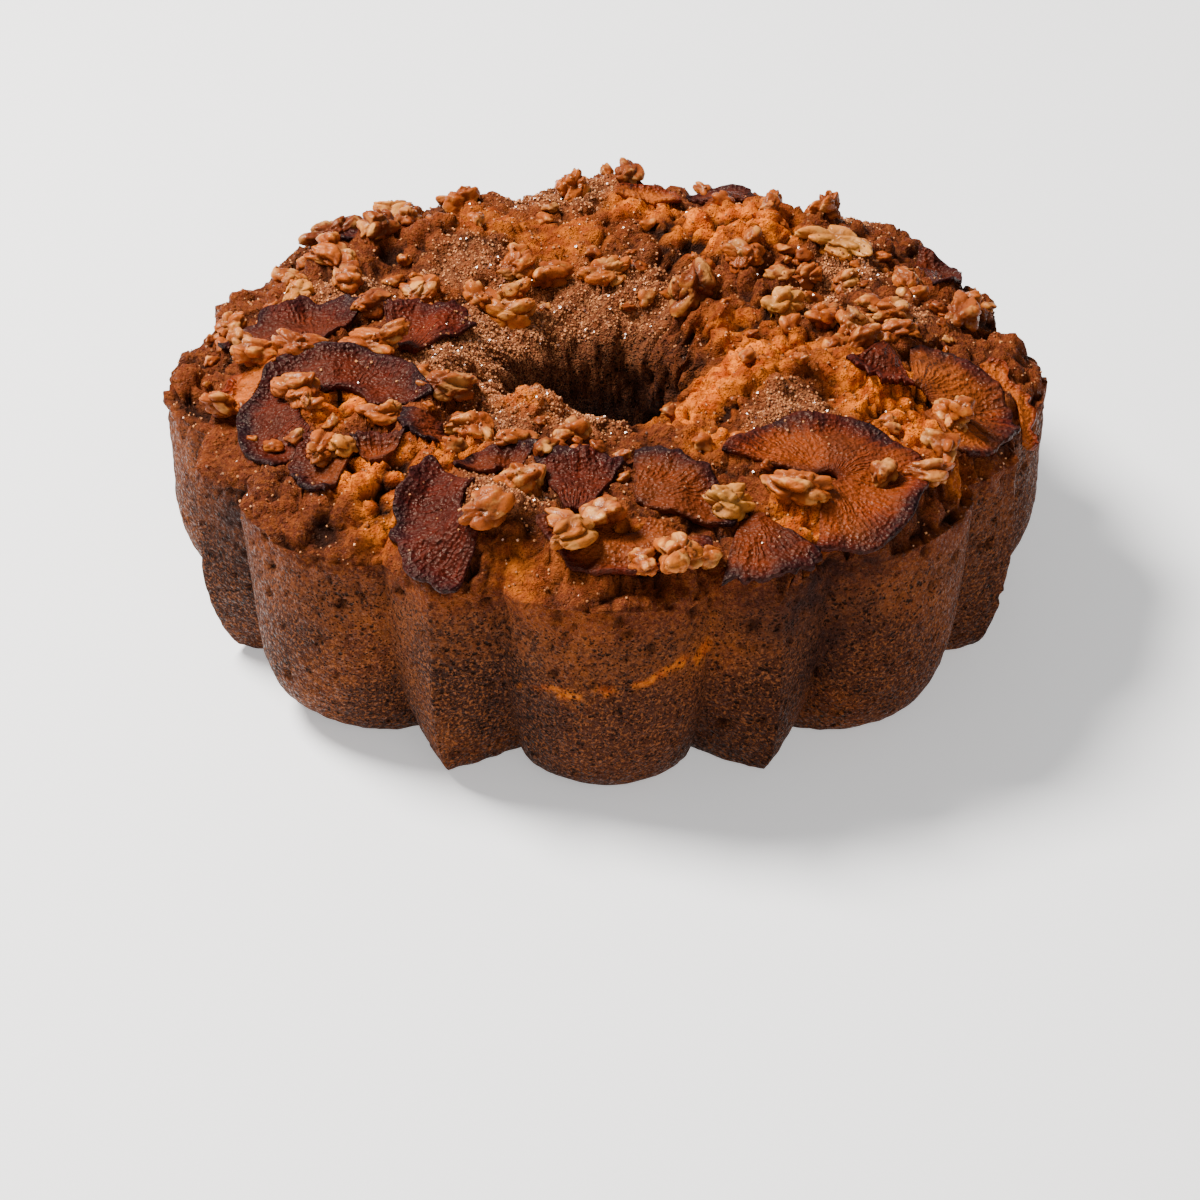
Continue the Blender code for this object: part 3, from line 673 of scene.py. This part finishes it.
def nut_material():
    """Looks: tone, furrows (painted shade), cut faces, and the tops of the lobes (painted highlight)."""
    n = Nodes("toasted walnut")
    tone, furrow_shade, cut, lobe = n.looks
    red_brown, tan, cream = (0.105, 0.018, 0.006), (0.30, 0.056, 0.007), (0.66, 0.28, 0.050)
    colour = n.mix(n.span(tone, 0.0, 0.5), red_brown, tan)
    colour = n.mix(n.span(tone, 0.68, 1.0), colour, cream)
    colour = n.mix(n.span(n.noise(190, 4), 0.45, 0.75, 0, 0.55), colour, (0.16, 0.031, 0.007))
    # painted highlight: the tops of the lobes are lighter
    colour = n.mix(n.math("MULTIPLY", lobe, n.span(tone, 0.0, 0.7, 0.12, 0.50)), colour, (0.50, 0.125, 0.015))
    colour = n.mix(n.math("MULTIPLY", cut, n.span(n.noise(150, 2), 0.35, 0.6, 0.0, 0.62)), colour, (0.56, 0.20, 0.032))
    # painted highlight: cream patches on the tops of the lobes
    lobe_top_highlight = n.math("MULTIPLY", lobe, n.span(n.noise(150, 3), 0.50, 0.62, 0.0, 0.60))
    colour = n.mix(lobe_top_highlight, colour, (0.72, 0.33, 0.085))
    # painted shade: near-black in the furrows
    colour = n.mix(n.math("MULTIPLY", furrow_shade, 0.92), colour, (0.045, 0.0085, 0.0030))
    height = n.math("ADD", n.noise(420, 4), n.math("MULTIPLY", n.noise(130, 2), 1.2))
    rough = n.span(n.noise(500, 2), 0.35, 0.7, 0.24, 0.55)
    return n.finish(colour, rough, n.bump(height, 0.0005, 0.8), 0.19)


def sugar_material():
    n = Nodes("sugar")
    colour = n.mix(n.looks[0], (0.16, 0.038, 0.012), (0.62, 0.26, 0.10))
    n.put(n.shader.inputs["Base Color"], colour)
    n.shader.inputs["Roughness"].default_value = 0.15
    return n.material


# ---------------------------------------------------------------- the cake

crust_finish, fruit_finish, nut_finish, sugar_finish = (
    crust_material(), fruit_material(), nut_material(), sugar_material())
rng = random.Random(12)

angles, grid, kinds = cake_grid()
n_columns, n_rows = grid.shape[:2]
normals = grid_normals(grid)
if normals[0, 4 + WALL_ROWS + TOP_ROWS // 2, 2] < 0:
    normals = -normals
looks = np.zeros((n_columns, n_rows, 4))
for i, angle in enumerate(angles):
    for j in range(n_rows):
        share, inwards = kinds[i, j]
        x, y, z = grid[i, j]
        if share < 0:
            # the cake's underside: a little darker, with slight painted shade under it
            looks[i, j] = 0, 0.2, 0, 0.9
            continue
        point = Vector((x, y, z))
        crag = patches(CRAGS, x, y)
        smooth = patches(SMOOTH, x, y)
        on_top = inwards >= 0
        move = 0.0
        if on_top:
            crumbly = max(0.06, 0.62 + 0.38 * crag - 0.56 * max(smooth, 0.8 * patches(SUGAR, x, y)))
            if inwards > 1:
                crumbly = max(crumbly, 0.5)
            relief = crumb_relief(x, y, z, crumbly)
            move = relief
            # painted shade: the crust is darker where the relief is low, in the hollows between lumps
            hollow_shade = smooth_step(-0.0026, 0.0008, relief)
        else:
            edge = smooth_step(0.72, 1.0, share)
            relief = 0.00045 * noise.noise(point * 260) + 0.0014 * edge * noise.noise(point * 150)
            relief += 0.0018 * crag * edge * (noise.voronoi(point * 190)[0][0] - 0.5) * -2
            relief += 0.0009 * noise.noise(point * 38)
            pit = pit_depth(x, y, z, share) * (0.25 + 0.75 * smooth_step(0, 0.1, share))
            move = relief - pit
            # painted shade: the crust is darker inside the pits
            hollow_shade = 1 - 0.8 * smooth_step(0, 0.0012, pit)
        grid[i, j] += normals[i, j] * move
        broken = noise.noise(point * 60) * 0.5
        gold = patches(GOLD, x, y) if on_top else 0.0
        sugar = patches(SUGAR, x, y) if on_top else 0.0
        dark = 0.0
        # painted shade inside the hole, darker deeper down
        if on_top and inwards > 1:
            dark = 0.35 + 0.5 * smooth_step(1.1, 1.5, inwards)
            gold *= 0.3
        if not on_top:
            pitch = 360 / FLUTE_PAIRS
            off_lobe = abs((angle + pitch / 2) % pitch - pitch / 2)
            # painted shade in the flute valleys; the blotches are the crust's own darker tone
            valley = math.exp(-(((off_lobe - LOBE_HALF_ANGLE) / 3.2) ** 2))
            blotch = noise.noise(point * 24 + Vector((5, 0, 0))) + 0.5 * noise.noise(point * 60)
            dark = min(1, max(0, 0.55 * valley + 1.5 * (blotch - 0.12)))
            gold = 0.07 * smooth_step(0.0, 0.5, noise.noise(point * 33 + Vector((0, 4, 0)))) * (1 - dark)
            centred = (angle + 180) % 360 - 180
            if abs(centred) < 14:
                line = 0.0435 + 0.00048 * centred + 0.0022 * noise.noise(point * 90)
                broken = smooth_step(-0.1, 0.3, noise.noise(point * 200))
                gold += 0.20 * broken * math.exp(-(((z - line) / 0.0019) ** 2))
                dark *= 0.6
        looks[i, j] = min(1, max(0, gold + 0.3 * broken * (gold > 0.1))), dark, min(1, max(0, sugar)), hollow_shade
grid[:, :, 2] = np.maximum(grid[:, :, 2], 0.0)

cake_faces = grid_faces(n_columns, n_rows)
crust_tree = tree_of(grid.reshape(-1, 3), cake_faces)

# ---------------------------------------------------------------- fruit slices

slice_pts, slice_fcs, slice_lks, slice_trees = [], [], [], []
start = 0
for name, form in SLICES.items():
    upper, lower, shade = slice_points(name, form, slice_trees)
    n, m = upper.shape[:2]
    faces = slice_faces(n, m, start)
    pts = np.vstack([upper.reshape(-1, 3), lower.reshape(-1, 3)])
    slice_pts.append(pts)
    slice_fcs.append(faces)
    slice_lks.append(np.vstack([shade.reshape(-1, 4), shade.reshape(-1, 4)]))
    slice_trees.append(tree_of(pts, faces - start))
    start += len(pts)

# ---------------------------------------------------------------- walnuts

ball5, ball5_faces = icosphere(5)
ball4, ball4_faces = icosphere(4)
ball3, ball3_faces = icosphere(3)
resting_on = [crust_tree] + slice_trees
nut_pts, nut_fcs, nut_lks = [], [], []
start = 0
for number, (angle, distance, length, width, height, turn, bend, tone) in enumerate(WALNUTS, 1):
    pts, shade = walnut_shape(ball5, number, length * 1.04, width * 1.08, height * 1.1, bend, tone, rng)
    pts = turned(pts, math.radians(turn), rng.uniform(-0.25, 0.25), rng.uniform(-0.35, 0.35))
    pts = seat(pts, *on_plan(angle, distance), resting_on, 0.0014)
    nut_pts.append(pts)
    nut_fcs.append(ball5_faces + start)
    nut_lks.append(shade)
    start += len(pts)
    resting_on.append(tree_of(pts, ball5_faces))

bit_pts, bit_fcs, bit_lks = [], [], []
start = 0
bits = list(BITS)
crowded = (
    (-100, 0.105, 0.016, 30), (-78, 0.112, 0.012, 16), (-125, 0.105, 0.020, 26), (-150, 0.112, 0.016, 12),
    (-110, 0.075, 0.016, 12), (-150, 0.055, 0.016, 10), (165, 0.055, 0.018, 14), (125, 0.075, 0.022, 34),
    (105, 0.090, 0.022, 34), (95, 0.075, 0.014, 14), (60, 0.108, 0.014, 14), (-60, 0.060, 0.014, 10),
    (-20, 0.068, 0.016, 12), (10, 0.118, 0.014, 14), (-5, 0.060, 0.014, 12), (-62, 0.105, 0.012, 10),
    (45, 0.060, 0.014, 8), (150, 0.100, 0.020, 14), (30, 0.088, 0.018, 8), (178, 0.100, 0.020, 10),
)
for angle, distance, spread, count in crowded:
    cx, cy = on_plan(angle, distance)
    for _ in range(round(count * 0.75)):
        x, y = cx + rng.gauss(0, spread * 0.7), cy + rng.gauss(0, spread * 0.7)
        away = math.hypot(x, y)
        if 0.036 < away < 0.122:
            bits.append((math.degrees(math.atan2(x, -y)), away, rng.uniform(0.0035, 0.0085), rng.uniform(0.15, 0.7)))
for number, (angle, distance, length, tone) in enumerate(bits):
    large = length > 0.0095
    x, y = on_plan(angle, distance)
    crust_top, piece_top = look_down([crust_tree], x, y), look_down(resting_on[1:], x, y)
    if number >= len(BITS) and piece_top and piece_top > crust_top and rng.random() < 0.93:
        continue
    ball, faces = (ball4, ball4_faces) if large else (ball3, ball3_faces)
    width = length * rng.uniform(0.6, 0.85)
    height = length * rng.uniform(0.5, 0.7)
    pts, shade = walnut_shape(ball, 60 + number, length, width, height, rng.uniform(0, 0.4), tone, rng)
    pts = turned(pts, rng.uniform(0, math.tau), rng.uniform(-0.5, 0.5), rng.uniform(-0.5, 0.5))
    pts = seat(pts, *on_plan(angle, distance), resting_on, 0.0009)
    bit_pts.append(pts)
    bit_fcs.append(faces + start)
    bit_lks.append(shade)
    start += len(pts)
    if large:
        resting_on.append(tree_of(pts, faces))

# ---------------------------------------------------------------- the crust meets what lies on it

pieces_tree = tree_of(
    np.vstack(slice_pts + nut_pts),
    [tuple(f) for f in np.vstack(slice_fcs)] + [tuple(f + sum(len(p) for p in slice_pts)) for f in np.vstack(nut_fcs)],
)
for i in range(n_columns):
    for j in range(n_rows):
        share, inwards = kinds[i, j]
        if not 0 <= inwards <= 1.1:
            continue
        x, y, z = grid[i, j]
        hit = pieces_tree.ray_cast(Vector((x, y, z - 0.006)), Vector((0, 0, 1)), 0.011)[0]
        if hit:
            grid[i, j, 2] = max(z - 0.004, min(z + 0.0035, hit.z + 0.0002))

cake = add_piece("cake", grid.reshape(-1, 3), cake_faces, crust_finish, looks.reshape(-1, 4))
fruit = add_piece("fruit_slices", np.vstack(slice_pts), np.vstack(slice_fcs), fruit_finish, np.vstack(slice_lks))
nuts = add_piece("walnut_pieces", np.vstack(nut_pts), np.vstack(nut_fcs), nut_finish, np.vstack(nut_lks))
small_nuts = add_piece("small_walnut_bits", np.vstack(bit_pts), np.vstack(bit_fcs), nut_finish, np.vstack(bit_lks))
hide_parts("cake")
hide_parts(*["fruit_" + name for name in SLICES])
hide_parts(*[f"walnut_{number:02d}" for number in range(1, len(WALNUTS) + 1)])

# ---------------------------------------------------------------- sugar grains

for piece in (cake, fruit, nuts, small_nuts):
    mesh = piece.data
    bm = bmesh.new()
    bm.from_mesh(mesh)
    bmesh.ops.recalc_face_normals(bm, faces=bm.faces)
    bm.to_mesh(mesh)
    bm.free()

landing = [
    (tree_of([v.co for v in piece.data.vertices], [p.vertices for p in piece.data.polygons]), keep)
    for piece, keep in ((cake, 1.0), (fruit, 0.06), (nuts, 0.10), (small_nuts, 0.15))
]
cube = np.array([(x, y, z) for x in (-1, 1) for y in (-1, 1) for z in (-1, 1)]) * 0.5
cube_faces = np.array([(0, 1, 3, 2), (4, 6, 7, 5), (0, 4, 5, 1), (2, 3, 7, 6), (0, 2, 6, 4), (1, 5, 7, 3)])
grain_pts, grain_fcs, grain_lks = [], [], []
start = 0
tries = 0
while len(grain_pts) < 9000 and tries < 120000:
    tries += 1
    x, y = rng.uniform(-0.13, 0.13), rng.uniform(-0.13, 0.13)
    away = math.hypot(x, y)
    if not 0.031 < away < 0.128:
        continue
    wanted = 0.05 + 0.95 * patches(SUGAR, x, y)
    if rng.random() > wanted:
        continue
    best, facing, kept = None, None, 1.0
    for tree, keep in landing:
        hit, normal, _, _ = tree.ray_cast(Vector((x, y, 0.3)), Vector((0, 0, -1)))
        if hit and (best is None or hit.z > best.z):
            best, facing, kept = hit, normal, keep
    if best is None or rng.random() > kept or best.z < 0.058:
        continue
    side = rng.uniform(0.00032, 0.00068)
    pts = turned(cube * side * np.array([1, 1, rng.uniform(0.7, 1.1)]), rng.uniform(0, 6.3), rng.uniform(-0.9, 0.9), rng.uniform(-0.9, 0.9))
    grain_pts.append(pts + np.array(best + facing * side * 0.2))
    grain_fcs.append(cube_faces + start)
    grain_lks.append(np.tile([rng.random(), 0, 0, 1], (8, 1)))
    start += 8
grains = add_piece("sugar_grains", np.vstack(grain_pts), np.vstack(grain_fcs), sugar_finish, np.vstack(grain_lks), smooth=False)

# ---------------------------------------------------------------- stage, lights and camera

bpy.ops.mesh.primitive_plane_add(size=6, location=(0, 0, 0))
floor = bpy.context.object
floor.name = "floor"
floor_finish = bpy.data.materials.new("white floor")
floor_finish.use_nodes = True
floor_shader = floor_finish.node_tree.nodes["Principled BSDF"]
floor_shader.inputs["Base Color"].default_value = (0.86, 0.86, 0.87, 1)
floor_shader.inputs["Roughness"].default_value = 0.35
floor_shader.inputs["Emission Color"].default_value = (1, 1, 1, 1)
floor_shader.inputs["Emission Strength"].default_value = 0.45
floor.data.materials.append(floor_finish)
floor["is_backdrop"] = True


def soft_light(name, place, size, watts, colour):
    data = bpy.data.lights.new(name, "AREA")
    data.shape = "DISK"
    data.size = size
    data.energy = watts
    data.color = colour
    light = bpy.data.objects.new(name, data)
    light.location = place
    light.rotation_euler = (Vector((0, 0, 0.05)) - Vector(place)).to_track_quat("-Z", "Y").to_euler()
    bpy.context.scene.collection.objects.link(light)


soft_light("key", (-0.80, 0.30, 1.30), 0.60, 84, (1.0, 0.97, 0.93))
soft_light("front", (0.3, -1.4, 0.9), 1.0, 6, (1.0, 0.98, 0.96))
world = bpy.data.worlds.new("studio")
world.use_nodes = True
world.node_tree.nodes["Background"].inputs["Color"].default_value = (1, 1, 1, 1)
world.node_tree.nodes["Background"].inputs["Strength"].default_value = 0.30
bpy.context.scene.world = world

camera_data = bpy.data.cameras.new("camera")
camera_data.lens = 148.95
camera_data.sensor_width = 36
camera_data.clip_end = 20
camera = bpy.data.objects.new("camera", camera_data)
tilt = math.radians(33.3)
target = Vector((-0.0018, -0.0058, -0.0088))
camera.location = Vector((-0.0018, -1.5 * math.cos(tilt), 1.5 * math.sin(tilt) - 0.0))
camera.rotation_euler = (target - camera.location).to_track_quat("-Z", "Y").to_euler()
bpy.context.scene.collection.objects.link(camera)
bpy.context.scene.camera = camera

sizes = {"frame": frame_box, "visual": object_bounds()}
sizes = {name: [[float(value) for value in corner] for corner in box] for name, box in sizes.items()}
